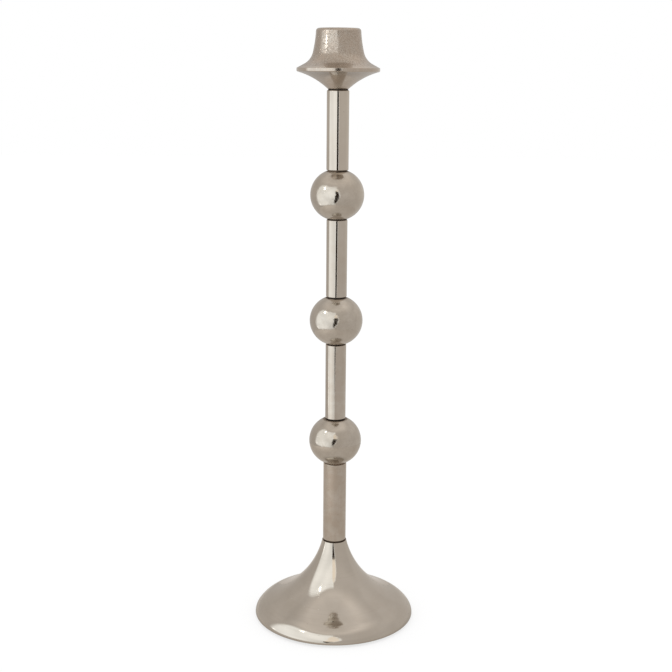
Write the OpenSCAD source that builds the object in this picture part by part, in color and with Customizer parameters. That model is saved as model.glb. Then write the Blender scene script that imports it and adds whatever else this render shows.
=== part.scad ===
// Candlestick held together by one tie rod: a weighted trumpet foot, four stem tubes
// with three hollow balls between them, and a cast candle cup with a drip pan.
// Millimetres, +Z up. The origin is the middle of the felt's underside, on the table.

/* [Foot] */
// Widest diameter of the foot, at its rim
foot_d = 99.4; // [82:0.2:125]
// Height of the foot shell from its rim to its neck
foot_h = 48; // [38:0.5:60]
// Diameter of the foot's neck
neck_d = 15; // [14.6:0.1:18]
// Radius of the round at the rim
rim_r = 5; // [3:0.5:7]
// Angle that the rim's round turns through
rim_turn = 34; // [25:1:45]
// Radius of the shoulder above the rim
shoulder_r = 17; // [12:0.5:22]
// Radius of the hollow flare below the neck
flare_r = 55.6; // [46:0.2:72]
// Wall of the spun shell
foot_wall = 1.4; // [1:0.1:2]

/* [Inside the foot] */
// Thickness of the felt pad
felt_t = 2; // [1:0.5:3]
// How far the felt stands proud of the rim
felt_proud = 0.5; // [0.3:0.1:0.8]
// Gap round the felt's edge
felt_gap = 0.4; // [0.2:0.1:1]
// Height of the cast weight
weight_h = 18; // [12:0.5:22]
// Bore of the weight, wide enough for a socket wrench
weight_bore_d = 28; // [24:0.5:34]
// Height of the plug that fills the neck
plug_h = 18; // [12:0.5:20]
// Clearance between the shell and what it holds
fill_gap = 0.2; // [0.1:0.05:0.4]

/* [Stem tubes] */
// Diameter of the lower tube
lower_tube_d = 14.2; // [12:0.1:14.5]
// Length of the lower tube
lower_tube_l = 50.3; // [40:0.1:65]
// Diameter of the two middle tubes
middle_tube_d = 12.5; // [11:0.1:14.5]
// Length of each middle tube
middle_tube_l = 46.6; // [38:0.1:60]
// Diameter of the top tube
top_tube_d = 13.1; // [11:0.1:14.5]
// Length of the top tube
top_tube_l = 46.1; // [38:0.1:60]
// Wall of every tube
tube_wall = 1.2; // [1:0.1:1.5]
// Bevel at the tubes' ends
tube_bevel = 0.35; // [0.1:0.05:0.5]

/* [Balls] */
// Width of each ball
ball_d = 32; // [26:0.2:40]
// How much each half of a ball is lower than round
ball_flatten = 1; // [0.5:0.1:2]
// Wall of each ball
ball_wall = 2; // [1.6:0.1:2.5]
// How much wider than its larger tube a ball's faced seat is
seat_margin = 0.1; // [0.1:0.1:1]

/* [Bushes] */
// Length of a bush inside its tube
bush_l = 8; // [5:0.5:12]
// Diameter of the spigot that enters a ball, the cup or the plug
spigot_d = 9; // [8.4:0.1:9.6]
// Length of the spigot
spigot_l = 1.6; // [1:0.1:2.2]
// Thickness of the collar, which keeps a tube off its seat
collar_t = 0.6; // [0.4:0.1:1]
// How far the collar is set back from the tube's outside
collar_inset = 0.7; // [0.5:0.1:0.9]
// Radial clearance of everything that slides together
slide_gap = 0.05; // [0.03:0.01:0.1]

/* [Tie rod and nut] */
// Diameter of the tie rod
rod_d = 6; // [5:0.5:7.5]
// Radial clearance of the rod in bushes, plug and washers
rod_gap = 0.15; // [0.1:0.05:0.3]
// Length of the rod's thread inside the cup
cup_thread_l = 9; // [6:0.5:10]
// How much of the rod shows below the nut
rod_tail = 3; // [1:0.5:6]
// Width across the flats of the nut
nut_af = 10; // [9:0.5:13]
// Height of the nut
nut_h = 5; // [4:0.5:6]
// Diameter of the lock washer
lock_washer_d = 11; // [10:0.5:14]
// Thickness of the lock washer
lock_washer_t = 1.6; // [1:0.1:2]
// Diameter of the clamp washer
clamp_washer_d = 18; // [15:0.5:24]
// Thickness of the clamp washer
clamp_washer_t = 1.6; // [1:0.1:2.5]

/* [Candle cup] */
// Height of the whole cup
cup_h = 34.4; // [33:0.2:42]
// Diameter of the cup's underside where it meets the stem
cup_neck_d = 11.8; // [11.2:0.1:14]
// Height of the drip pan's lower edge above the cup's underside
pan_z = 9.9; // [8:0.1:12]
// Diameter of the drip pan
pan_d = 48.4; // [44:0.2:60]
// Height of the drip pan's plain edge
pan_edge = 2.5; // [1.5:0.1:4]
// Bevel of the drip pan's edge
pan_bevel = 0.4; // [0.2:0.1:0.6]
// Slope of the drip pan's top
pan_slope = 28; // [20:1:32]
// Diameter where the pan's slope turns up into the socket wall
root_d = 39.6; // [38:0.2:43]
// Radius of that turn
root_r = 9.9; // [7:0.1:11]
// Radius of the slightly hollow socket wall
wall_r = 69; // [50:1:120]
// Radius of the hollow underside
under_r = 42.7; // [30:0.1:70]
// Diameter of the lip
lip_d = 26.1; // [25:0.1:28]
// Radius of the lip's outer round
lip_round = 1.8; // [1:0.1:1.9]
// Diameter of the candle socket
socket_d = 22; // [20:0.1:23]
// Depth of the candle socket
socket_depth = 20.5; // [16:0.5:21]
// Bevel at the socket's mouth
socket_bevel = 0.25; // [0.1:0.05:0.3]

/* [Hidden] */
$fn = 96;
// Largest turn between two points of a drawn arc, in degrees
arc_step = 3;
// Overshoot of a cut past the face it opens
cut = 1;

// Heights of the stack, from the table up
rim_z = felt_proud;
neck_z = rim_z + foot_h;
lower_tube_z = neck_z + collar_t;
lower_ball_seat_d = max(lower_tube_d, middle_tube_d) + seat_margin;
middle_ball_seat_d = middle_tube_d + seat_margin;
upper_ball_seat_d = max(middle_tube_d, top_tube_d) + seat_margin;
lower_ball_z = lower_tube_z + lower_tube_l + collar_t + seat_height(lower_ball_seat_d);
second_tube_z = lower_ball_z + seat_height(lower_ball_seat_d) + collar_t;
middle_ball_z = second_tube_z + middle_tube_l + collar_t + seat_height(middle_ball_seat_d);
third_tube_z = middle_ball_z + seat_height(middle_ball_seat_d) + collar_t;
upper_ball_z = third_tube_z + middle_tube_l + collar_t + seat_height(upper_ball_seat_d);
top_tube_z = upper_ball_z + seat_height(upper_ball_seat_d) + collar_t;
cup_z = top_tube_z + top_tube_l + collar_t;

// Heights of what hangs below the neck plug
plug_z = neck_z - plug_h;
clamp_washer_z = plug_z - clamp_washer_t;
lock_washer_z = clamp_washer_z - lock_washer_t;
nut_z = lock_washer_z - nut_h;
rod_z = nut_z - rod_tail;

rod_bore_r = rod_d / 2 + rod_gap;
spigot_hole_r = spigot_d / 2 + slide_gap;
// A hole is this much deeper than the spigot in it
spigot_hole_l = spigot_l + 0.4;

// ---- Outlines ----

// Where a circle round a and one round b cross, left (1) or right (-1) of the way a to b
function crossing(a, ra, b, rb, side) =
    let (d = norm(b - a), u = (b - a) / d, k = (d * d + ra * ra - rb * rb) / (2 * d))
    a + k * u + side * sqrt(max(0, ra * ra - k * k)) * [-u[1], u[0]];

// Points of an arc round c, from angle a to angle b
function arc(c, r, a, b) =
    let (n = max(2, ceil(abs(b - a) / arc_step)))
    [for (i = [0 : n]) let (t = a + (b - a) * i / n) c + r * [cos(t), sin(t)]];

// Direction from c to p, 0 to 360 degrees
function bearing(c, p) = let (t = atan2(p[1] - c[1], p[0] - c[0])) t < 0 ? t + 360 : t;

function without_first(v) = [for (i = [1 : len(v) - 1]) v[i]];
function reversed(v) = [for (i = [len(v) - 1 : -1 : 0]) v[i]];

// Centres of the foot's three arcs, rim at height 0, each tangent to the next
rim_c = [foot_d / 2 - rim_r, 0];
shoulder_c = rim_c + (rim_r - shoulder_r) * [cos(rim_turn), sin(rim_turn)];
flare_c = crossing(shoulder_c, shoulder_r + flare_r, [neck_d / 2, foot_h], flare_r, -1);

// The foot's outline from its rim to its neck, set in from the outside
function foot_outline(inset) =
    let (tangent = bearing(shoulder_c, flare_c),
         neck_turn = 180 - asin((foot_h - flare_c[1]) / (flare_r + inset)))
    concat(
        arc(rim_c, rim_r - inset, 0, rim_turn),
        without_first(arc(shoulder_c, shoulder_r - inset, rim_turn, tangent)),
        without_first(arc(flare_c, flare_r + inset, tangent + 180, neck_turn)));

// Everything inside the foot's outline, set in, between two heights above the rim
module foot_core(inset, low, high) {
    intersection() {
        polygon(concat([[0, 0]], foot_outline(inset), [[0, foot_h]]));
        translate([0, low]) square([foot_d, high - low]);
    }
}

// Height of a ball's faced seat above its centre
function seat_height(seat_d) =
    sqrt(pow(ball_d / 2 - ball_flatten, 2) - pow(seat_d / 2 - ball_flatten, 2));

// ---- Foot ----

// Spun brass trumpet
module foot_shell() {
    color("silver") translate([0, 0, rim_z]) rotate_extrude()
        polygon(concat(foot_outline(0), reversed(foot_outline(foot_wall))));
}

// Cast-iron ring bedded inside the shell
module foot_weight() {
    color("dimgray") translate([0, 0, rim_z]) difference() {
        rotate_extrude() foot_core(foot_wall + fill_gap, felt_t - felt_proud,
                                   felt_t - felt_proud + weight_h);
        cylinder(d = weight_bore_d, h = foot_h);
    }
}

// Felt disc under the weight
module felt_pad() {
    rim_inside = rim_r - foot_wall;
    felt_r = rim_c[0] + sqrt(pow(rim_inside, 2) - pow(felt_t - felt_proud, 2)) - felt_gap;
    color("darkgreen") cylinder(r = felt_r, h = felt_t);
}

// Tapered plug that the nut draws up into the neck
module neck_plug() {
    color("goldenrod") translate([0, 0, rim_z]) difference() {
        rotate_extrude() foot_core(foot_wall + fill_gap, foot_h - plug_h, foot_h);
        cylinder(r = rod_bore_r, h = foot_h + cut);
        translate([0, 0, foot_h - spigot_hole_l]) cylinder(r = spigot_hole_r, h = foot_h);
    }
}

// ---- Tie rod and nut ----

module tie_rod() {
    color("slategray") translate([0, 0, rod_z])
        cylinder(d = rod_d, h = cup_z + cup_thread_l - rod_z);
}

module washer(d, t) {
    difference() {
        cylinder(d = d, h = t);
        translate([0, 0, -cut]) cylinder(r = rod_bore_r, h = t + 2 * cut);
    }
}

module clamp_washer() {
    color("lightgray") translate([0, 0, clamp_washer_z]) washer(clamp_washer_d, clamp_washer_t);
}

// Spring washer: a ring with one slanted split
module lock_washer() {
    split = 1;
    color("gray") translate([0, 0, lock_washer_z]) difference() {
        washer(lock_washer_d, lock_washer_t);
        rotate([20, 0, 0]) translate([0, -split / 2, -lock_washer_t])
            cube([lock_washer_d, split, 4 * lock_washer_t]);
    }
}

module clamp_nut() {
    color("lightgray") translate([0, 0, nut_z]) difference() {
        cylinder(r = nut_af / 2 / cos(30), h = nut_h, $fn = 6);
        translate([0, 0, -cut]) cylinder(r = rod_d / 2 + slide_gap, h = nut_h + 2 * cut);
    }
}

// ---- Stem ----

// Plain tube with bevelled ends
module tube(d, l, z) {
    r = d / 2;
    bore_r = r - tube_wall;
    color("silver") translate([0, 0, z]) rotate_extrude()
        polygon([[bore_r, 0], [r - tube_bevel, 0], [r, tube_bevel],
                 [r, l - tube_bevel], [r - tube_bevel, l], [bore_r, l]]);
}

// Hollow ball, a little lower than round, faced flat and drilled at both poles
module ball(seat_d, z) {
    seat_z = seat_height(seat_d);
    color("silver") translate([0, 0, z]) rotate_extrude() intersection() {
        difference() {
            translate([ball_flatten, 0]) circle(r = ball_d / 2 - ball_flatten);
            translate([ball_flatten, 0]) circle(r = ball_d / 2 - ball_flatten - ball_wall);
        }
        translate([spigot_hole_r, -seat_z]) square([ball_d, 2 * seat_z]);
    }
}

// Brass bush that centres a tube's end: body up inside the tube, collar, spigot below.
// A bush at a tube's top is the same one turned over.
module bush(tube_d, seat_z, at_top) {
    collar_r = tube_d / 2 - collar_inset;
    color("goldenrod") translate([0, 0, seat_z]) mirror([0, 0, at_top ? 1 : 0]) difference() {
        union() {
            translate([0, 0, -spigot_l]) cylinder(d = spigot_d, h = spigot_l);
            cylinder(r = collar_r, h = collar_t);
            translate([0, 0, collar_t])
                cylinder(r = tube_d / 2 - tube_wall - slide_gap, h = bush_l);
        }
        translate([0, 0, -spigot_l - cut])
            cylinder(r = rod_bore_r, h = spigot_l + collar_t + bush_l + 2 * cut);
    }
}

module lower_tube() { tube(lower_tube_d, lower_tube_l, lower_tube_z); }
module second_tube() { tube(middle_tube_d, middle_tube_l, second_tube_z); }
module third_tube() { tube(middle_tube_d, middle_tube_l, third_tube_z); }
module top_tube() { tube(top_tube_d, top_tube_l, top_tube_z); }

module lower_ball() { ball(lower_ball_seat_d, lower_ball_z); }
module middle_ball() { ball(middle_ball_seat_d, middle_ball_z); }
module upper_ball() { ball(upper_ball_seat_d, upper_ball_z); }

module lower_tube_bottom_bush() { bush(lower_tube_d, lower_tube_z - collar_t, false); }
module second_tube_bottom_bush() { bush(middle_tube_d, second_tube_z - collar_t, false); }
module third_tube_bottom_bush() { bush(middle_tube_d, third_tube_z - collar_t, false); }
module top_tube_bottom_bush() { bush(top_tube_d, top_tube_z - collar_t, false); }

module lower_tube_top_bush() {
    bush(lower_tube_d, lower_tube_z + lower_tube_l + collar_t, true);
}
module second_tube_top_bush() {
    bush(middle_tube_d, second_tube_z + middle_tube_l + collar_t, true);
}
module third_tube_top_bush() {
    bush(middle_tube_d, third_tube_z + middle_tube_l + collar_t, true);
}
module top_tube_top_bush() {
    bush(top_tube_d, top_tube_z + top_tube_l + collar_t, true);
}

// ---- Candle cup ----

// The cup's outline from its underside to its lip. The underside is one hollow arc. On top,
// the pan's slope turns through a small arc into the nearly upright socket wall.
function cup_outline() =
    let (neck = [cup_neck_d / 2, 0],
         pan_low = [pan_d / 2 - pan_bevel, pan_z],
         under_c = crossing(neck, under_r, pan_low, under_r, -1),
         pan_high = [pan_d / 2 - 2 * pan_bevel, pan_z + pan_edge],
         root = pan_high + (pan_high[0] - root_d / 2) * [-1, tan(pan_slope)],
         root_c = root + root_r * [sin(pan_slope), cos(pan_slope)],
         lip = [lip_d / 2, cup_h - lip_round],
         wall_c = crossing(root_c, wall_r - root_r, lip, wall_r, -1),
         turn = bearing(wall_c, root_c))
    concat(
        arc(under_c, under_r, bearing(under_c, neck), bearing(under_c, pan_low)),
        [[pan_d / 2, pan_z + pan_bevel], [pan_d / 2, pan_z + pan_edge - pan_bevel]],
        [pan_high],
        arc(root_c, root_r, bearing(root_c, root), turn),
        without_first(arc(wall_c, wall_r, turn, bearing(wall_c, lip))),
        without_first(arc(lip - [lip_round, 0], lip_round, 0, 90)));

// Cast cup: candle socket, drip pan and neck in one piece
module candle_cup() {
    socket_r = socket_d / 2;
    color("silver") translate([0, 0, cup_z]) difference() {
        rotate_extrude() polygon(concat([[0, 0]], cup_outline(), [[0, cup_h]]));
        translate([0, 0, cup_h - socket_depth]) cylinder(r = socket_r, h = socket_depth + cut);
        translate([0, 0, cup_h - socket_bevel])
            cylinder(r1 = socket_r, r2 = socket_r + socket_bevel + cut, h = socket_bevel + cut);
        translate([0, 0, -cut])
            cylinder(r = rod_d / 2 + slide_gap, h = cup_thread_l + slide_gap + cut);
        translate([0, 0, -cut]) cylinder(r = spigot_hole_r, h = spigot_hole_l + cut);
    }
}

foot_shell();
foot_weight();
felt_pad();
neck_plug();
tie_rod();
clamp_washer();
lock_washer();
clamp_nut();
lower_tube();
second_tube();
third_tube();
top_tube();
lower_ball();
middle_ball();
upper_ball();
lower_tube_bottom_bush();
lower_tube_top_bush();
second_tube_bottom_bush();
second_tube_top_bush();
third_tube_bottom_bush();
third_tube_top_bush();
top_tube_bottom_bush();
top_tube_top_bush();
candle_cup();
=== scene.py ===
# Nickel-plated candlestick: a weighted trumpet foot, four stem tubes with three balls between
# them, and a cast candle cup, all drawn together by one tie rod. Metres, +Z up the stem.
import math

import bpy
import numpy as np
from mathutils import Matrix, Vector


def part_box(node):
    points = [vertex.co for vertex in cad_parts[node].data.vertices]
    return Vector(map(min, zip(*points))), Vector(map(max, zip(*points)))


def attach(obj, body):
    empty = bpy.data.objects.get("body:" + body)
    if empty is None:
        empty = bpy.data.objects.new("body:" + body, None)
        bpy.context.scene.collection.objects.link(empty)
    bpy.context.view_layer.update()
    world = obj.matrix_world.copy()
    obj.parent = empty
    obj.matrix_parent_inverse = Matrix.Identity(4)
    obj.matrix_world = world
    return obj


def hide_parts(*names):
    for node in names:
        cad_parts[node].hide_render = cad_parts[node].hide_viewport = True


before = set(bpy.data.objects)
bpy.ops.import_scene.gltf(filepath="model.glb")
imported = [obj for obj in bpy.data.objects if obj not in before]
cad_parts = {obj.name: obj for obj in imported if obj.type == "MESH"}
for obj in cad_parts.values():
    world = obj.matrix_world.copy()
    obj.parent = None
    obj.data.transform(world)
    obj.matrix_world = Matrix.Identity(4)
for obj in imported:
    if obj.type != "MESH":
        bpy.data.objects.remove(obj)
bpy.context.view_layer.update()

MM = 0.001


# ---------------------------------------------------------------- Foot shell
# The trumpet foot: thin brass spun over a former from a disc, its edge turned to a round rim,
# then polished on the lathe and nickel plated. It stands on the felt with its rim just clear.

foot_low, foot_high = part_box("foot_shell")
foot_r = foot_high[0]
foot_h = foot_high[2] - foot_low[2]
foot_z = foot_low[2]
neck_r = 7.5 * MM
rim_r = 5.0 * MM
rim_turn = 34.0
shoulder_r = 17.0 * MM
flare_r = 55.6 * MM
foot_wall = 1.4 * MM
# A joint this far off is out of reach, for pieces with tarnish at one end only
no_joint = 1.0


def crossing(a, a_r, b, b_r, side):
    """Where a circle round a and one round b cross: along a to b, then across by Pythagoras."""
    way = b - a
    far = np.hypot(*way)
    u = way / far
    k = (far**2 + a_r**2 - b_r**2) / (2 * far)
    return a + k * u + side * math.sqrt(a_r**2 - k**2) * np.array([-u[1], u[0]])


def bearing(c, p):
    """Direction from c to p, 0 to 360 degrees."""
    return math.degrees(math.atan2(p[1] - c[1], p[0] - c[0])) % 360


def arc(c, r, start, end, step=1.5):
    """Points c + r (cos t, sin t), with t going evenly from start to end in degrees."""
    t = np.radians(np.linspace(start, end, max(3, int(abs(end - start) / step) + 2)))
    return c + r * np.stack([np.cos(t), np.sin(t)], axis=1)


def eased(points, ease, ring):
    """Turns each sharp corner of a profile into the curve (1-s)^2 a + 2s(1-s) p + s^2 b, where
    a and b lie on the corner's two sides, ease away from its point p."""
    before = np.roll(points, 1, axis=0) - points
    after = np.roll(points, -1, axis=0) - points
    before_l = np.hypot(*before.T)
    after_l = np.hypot(*after.T)
    straightness = -np.sum(before * after, axis=1) / (before_l * after_l)
    least_turn = math.radians(14)
    sharp = straightness < math.cos(least_turn)
    if not ring:
        sharp[[0, -1]] = False
    back = np.minimum(ease, 0.45 * np.minimum(before_l, after_l))
    a = points + before * (back / before_l)[:, None]
    b = points + after * (back / after_l)[:, None]
    steps = 7
    s = np.linspace(0, 1, steps)[None, :, None]
    curve = (1 - s) ** 2 * a[:, None] + 2 * s * (1 - s) * points[:, None] + s**2 * b[:, None]
    curve[~sharp] = points[~sharp][:, None]
    keep = sharp[:, None] | (np.arange(steps) == steps // 2)[None, :]
    return curve[keep]


def spaced(points, longest, ring):
    """Adds points along the long straight runs of a profile: one close to each end, so that smooth
    shading stays flat there, and the rest at even steps along them."""
    closed = np.vstack([points, points[:1]]) if ring else points
    lengths = np.hypot(*np.diff(closed, axis=0).T)
    corner_s = np.concatenate([[0], np.cumsum(lengths)])
    guard = 0.06 * MM
    long_from = 1.2 * MM
    even_s = np.arange(0, corner_s[-1], longest)
    near_s = np.concatenate([corner_s[:-1] + guard, corner_s[1:] - guard, even_s])
    place = np.clip(np.searchsorted(corner_s, near_s), 1, len(corner_s) - 1)
    gap = np.minimum(near_s - corner_s[place - 1], corner_s[place] - near_s)
    long_run = lengths[place - 1] > long_from
    near_s = near_s[(gap > 0.9 * guard) & long_run]
    s = np.sort(np.concatenate([corner_s, near_s]))
    s = s[np.concatenate([[True], np.diff(s) > 0.2 * guard])]
    out = np.stack([np.interp(s, corner_s, closed[:, axis]) for axis in (0, 1)], axis=1)
    return out[:-1] if ring and np.allclose(out[0], out[-1]) else out


def hand_waves(r, angle, z, seed, turns, pitch):
    """The slight unevenness that spinning and buffing leave: the mean of six sines of
    (whole turns x angle + height / pitch + a fixed phase), brought to the range 0 to 1."""
    dice = np.random.default_rng(seed)
    sines = 6
    total = np.zeros(np.broadcast(r, angle, z).shape)
    for _ in range(sines):
        n = dice.integers(turns[0], turns[1] + 1)
        rise = 2 * math.pi / (pitch * dice.uniform(0.7, 1.6)) * dice.choice([-1, 1])
        total = total + np.sin(n * angle + rise * (z + 0.6 * r) + dice.uniform(0, 2 * math.pi))
    return 0.5 + total / (2 * sines)


def turned(name, profile, sides, ring, depth, seed, turns, pitch):
    """A surface of revolution: the point at profile step i and angle t is
    (r_i cos t, r_i sin t, z_i), sunk along the profile's normal by depth x hand_waves.
    A ring's profile closes on itself; otherwise it starts and ends on the axis."""
    angle = np.linspace(0, 2 * math.pi, sides, endpoint=False)[None, :]
    body = profile if ring else profile[1:-1]
    run = np.roll(profile, -1, axis=0) - np.roll(profile, 1, axis=0)
    run = run if ring else run[1:-1]
    run = run / np.hypot(*run.T)[:, None]
    r, z = body[:, 0:1], body[:, 1:2]
    sink = depth * hand_waves(r, angle, z, seed, turns, pitch)
    r = r - sink * run[:, 1:2]
    z = z + sink * run[:, 0:1]
    points = np.stack([r * np.cos(angle), r * np.sin(angle), z + 0 * angle], axis=-1).reshape(-1, 3)
    rows = len(body)
    i = np.arange(rows if ring else rows - 1)[:, None]
    j = np.arange(sides)[None, :]
    i_next, j_next = (i + 1) % rows, (j + 1) % sides
    quads = np.stack(
        [i * sides + j, i * sides + j_next, i_next * sides + j_next, i_next * sides + j], axis=-1
    )
    faces = quads.reshape(-1, 4).tolist()
    if not ring:
        poles = np.array([[0, 0, profile[0, 1]], [0, 0, profile[-1, 1]]])
        points = np.vstack([points, poles])
        first, last = rows * sides, rows * sides + 1
        k = np.arange(sides)
        k_next = (k + 1) % sides
        top = (rows - 1) * sides
        faces += np.stack([k * 0 + first, k_next, k], axis=1).tolist()
        faces += np.stack([k * 0 + last, top + k, top + k_next], axis=1).tolist()
    mesh = bpy.data.meshes.new(name)
    mesh.from_pydata(points, [], faces)
    mesh.polygons.foreach_set("use_smooth", np.ones(len(faces), dtype=bool))
    mesh.update()
    piece = bpy.data.objects.new(name, mesh)
    bpy.context.scene.collection.objects.link(piece)
    return piece


def foot_outline(inset, coarse=1):
    """Rim round, shoulder round and hollow flare, each an arc tangent to the next, inset from the
    outside. coarse is how many times wider apart the points are."""
    rim_c = np.array([foot_r - rim_r, 0.0])
    turn = np.radians(rim_turn)
    shoulder_c = rim_c + (rim_r - shoulder_r) * np.array([np.cos(turn), np.sin(turn)])
    neck = np.array([neck_r, foot_h])
    flare_c = crossing(shoulder_c, shoulder_r + flare_r, neck, flare_r, -1)
    tangent = bearing(shoulder_c, flare_c)
    neck_turn = 180 - math.degrees(math.asin((foot_h - flare_c[1]) / (flare_r + inset)))
    return np.vstack([
        arc(rim_c, rim_r - inset, 0, rim_turn, 1.5 * coarse),
        arc(shoulder_c, shoulder_r - inset, rim_turn, tangent, 1.5 * coarse)[1:],
        arc(flare_c, flare_r + inset, tangent + 180, neck_turn, 0.6 * coarse)[1:],
    ]) + [0, foot_z]


foot_profile = np.vstack([foot_outline(0), foot_outline(foot_wall, coarse=3)[::-1]])
foot_profile = spaced(eased(foot_profile, ease=0.12 * MM, ring=True), longest=1.0 * MM, ring=True)
trumpet_foot = turned("trumpet_foot", foot_profile, sides=288, ring=True,
                      depth=0.035 * MM, seed=11, turns=(1, 4), pitch=0.03)


def add(tree, kind, settings=None, **inputs):
    """One new node of a material or group, with its settings and unlinked sockets filled in."""
    made = tree.nodes.new(kind)
    for key, value in (settings or {}).items():
        setattr(made, key, value)
    for key, value in inputs.items():
        made.inputs[key.replace("_", " ")].default_value = value
    return made


def sums(tree, operation, a, b=0.5, c=0.5, clamp=False):
    """A Math node on sockets or plain numbers; gives its output socket."""
    made = add(tree, "ShaderNodeMath", {"operation": operation, "use_clamp": clamp})
    for place, value in enumerate((a, b, c)):
        if isinstance(value, bpy.types.NodeSocket):
            tree.links.new(value, made.inputs[place])
        else:
            made.inputs[place].default_value = value
    return made.outputs[0]


def stepped(tree, value, low, high, to_low=0.0, to_high=1.0):
    """Smoothly carries value from low..high to to_low..to_high and holds it at both ends."""
    made = add(tree, "ShaderNodeMapRange", {"interpolation_type": "SMOOTHSTEP"})
    for name, given in (("Value", value), ("From Min", low), ("From Max", high),
                        ("To Min", to_low), ("To Max", to_high)):
        if isinstance(given, bpy.types.NodeSocket):
            tree.links.new(given, made.inputs[name])
        else:
            made.inputs[name].default_value = given
    return made.outputs[0]


def mixed(tree, factor, a, b, how="MIX"):
    """Colour a turned towards colour b by factor."""
    made = add(tree, "ShaderNodeMix", {"data_type": "RGBA", "blend_type": how})
    for place, value in ((0, factor), (6, a), (7, b)):
        if isinstance(value, bpy.types.NodeSocket):
            tree.links.new(value, made.inputs[place])
        elif place:
            made.inputs[place].default_value = (*value, 1)
        else:
            made.inputs[place].default_value = value
    return made.outputs[2]


def noise(tree, where, scale, detail=2.0, rough=0.5):
    """Value of a noise pattern at a place."""
    made = add(tree, "ShaderNodeTexNoise", Scale=scale, Detail=detail, Roughness=rough)
    tree.links.new(where, made.inputs["Vector"])
    return made.outputs[0]


def stretched(tree, where, factors):
    """Place scaled by its own factor along each axis."""
    made = add(tree, "ShaderNodeVectorMath", {"operation": "MULTIPLY"})
    tree.links.new(where, made.inputs[0])
    made.inputs[1].default_value = factors
    return made.outputs[0]


def effect(name, inputs, outputs):
    """An empty node group with named sockets; gives the group and its two end nodes."""
    tree = bpy.data.node_groups.new(name, "ShaderNodeTree")
    for label, kind, value in inputs:
        made = tree.interface.new_socket(label, in_out="INPUT", socket_type="NodeSocket" + kind)
        if value is not None:
            made.default_value = value
    for label, kind in outputs:
        tree.interface.new_socket(label, in_out="OUTPUT", socket_type="NodeSocket" + kind)
    return tree, tree.nodes.new("NodeGroupInput"), tree.nodes.new("NodeGroupOutput")


# Thin nickel over brass: warm grey, a little yellower where the plate has worn thin, with
# cloudy patches left by hands and dull brown spots where polish never reaches.
plate_wear, given, made = effect(
    "plate_wear",
    [("Place", "Vector", None), ("Cloud", "Float", 0.5), ("Speckle", "Float", 0.3),
     ("Haze", "Float", 0.08)],
    [("Color", "Color"), ("Roughness", "Float"), ("Height", "Float")],
)
nickel = (0.560, 0.518, 0.466)
thin_nickel = (0.582, 0.532, 0.470)
dull_nickel = (0.512, 0.462, 0.400)
spot_brown = (0.2, 0.13, 0.075)
place = given.outputs["Place"]
cloud = stepped(plate_wear, noise(plate_wear, place, 55.0, 4.0, 0.55), 0.38, 0.68)
fine_cloud = stepped(plate_wear, noise(plate_wear, place, 260.0, 3.0, 0.6), 0.4, 0.7)
thickness = stepped(plate_wear, noise(plate_wear, place, 24.0, 2.0), 0.35, 0.65)
warm = mixed(plate_wear, thickness, thin_nickel, nickel)
dulling = sums(plate_wear, "MULTIPLY", cloud, given.outputs["Cloud"])
dulled = mixed(plate_wear, dulling, warm, dull_nickel)
spot = add(plate_wear, "ShaderNodeTexVoronoi", Scale=420.0, Randomness=1.0)
plate_wear.links.new(place, spot.inputs["Vector"])
spot_mask = stepped(plate_wear, spot.outputs["Distance"], 0.02, 0.16, 1.0, 0.0)
rare = stepped(plate_wear, noise(plate_wear, place, 190.0, 1.0), 0.60, 0.68)
spots = sums(plate_wear, "MULTIPLY", spot_mask, rare)
spots = sums(plate_wear, "MULTIPLY", spots, given.outputs["Speckle"])
plate_wear.links.new(mixed(plate_wear, spots, dulled, spot_brown), made.inputs["Color"])
cloud_haze = sums(plate_wear, "MULTIPLY", sums(plate_wear, "MULTIPLY", cloud, fine_cloud), 0.1)
haze = sums(plate_wear, "ADD", given.outputs["Haze"], cloud_haze)
haze = sums(plate_wear, "ADD", haze, sums(plate_wear, "MULTIPLY", spots, 0.4))
plate_wear.links.new(haze, made.inputs["Roughness"])
plate_wear.links.new(sums(plate_wear, "SUBTRACT", fine_cloud, spots), made.inputs["Height"])

# Hairlines from cloths and handling: three sets of long thin lines, each set lying its own way.
hairlines, given, made = effect(
    "hairlines", [("Place", "Vector", None), ("Amount", "Float", 1.0)], [("Lines", "Float")]
)
lines = None
for tilt, factors in (((0.3, 0.2, 0.1), (1.0, 0.03, 0.5)), ((0.9, 1.3, 0.4), (0.5, 1.0, 0.04)),
                      ((1.7, 0.6, 2.2), (0.04, 0.6, 1.0))):
    turned_place = add(hairlines, "ShaderNodeVectorRotate", {"rotation_type": "EULER_XYZ"}, Rotation=tilt)
    hairlines.links.new(given.outputs["Place"], turned_place.inputs["Vector"])
    long_noise = noise(hairlines, stretched(hairlines, turned_place.outputs[0], factors), 2600.0, 2.0)
    one = stepped(hairlines, long_noise, 0.66, 0.74)
    lines = one if lines is None else sums(hairlines, "MAXIMUM", lines, one)
hairlines.links.new(sums(hairlines, "MULTIPLY", lines, given.outputs["Amount"]), made.inputs["Lines"])

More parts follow.
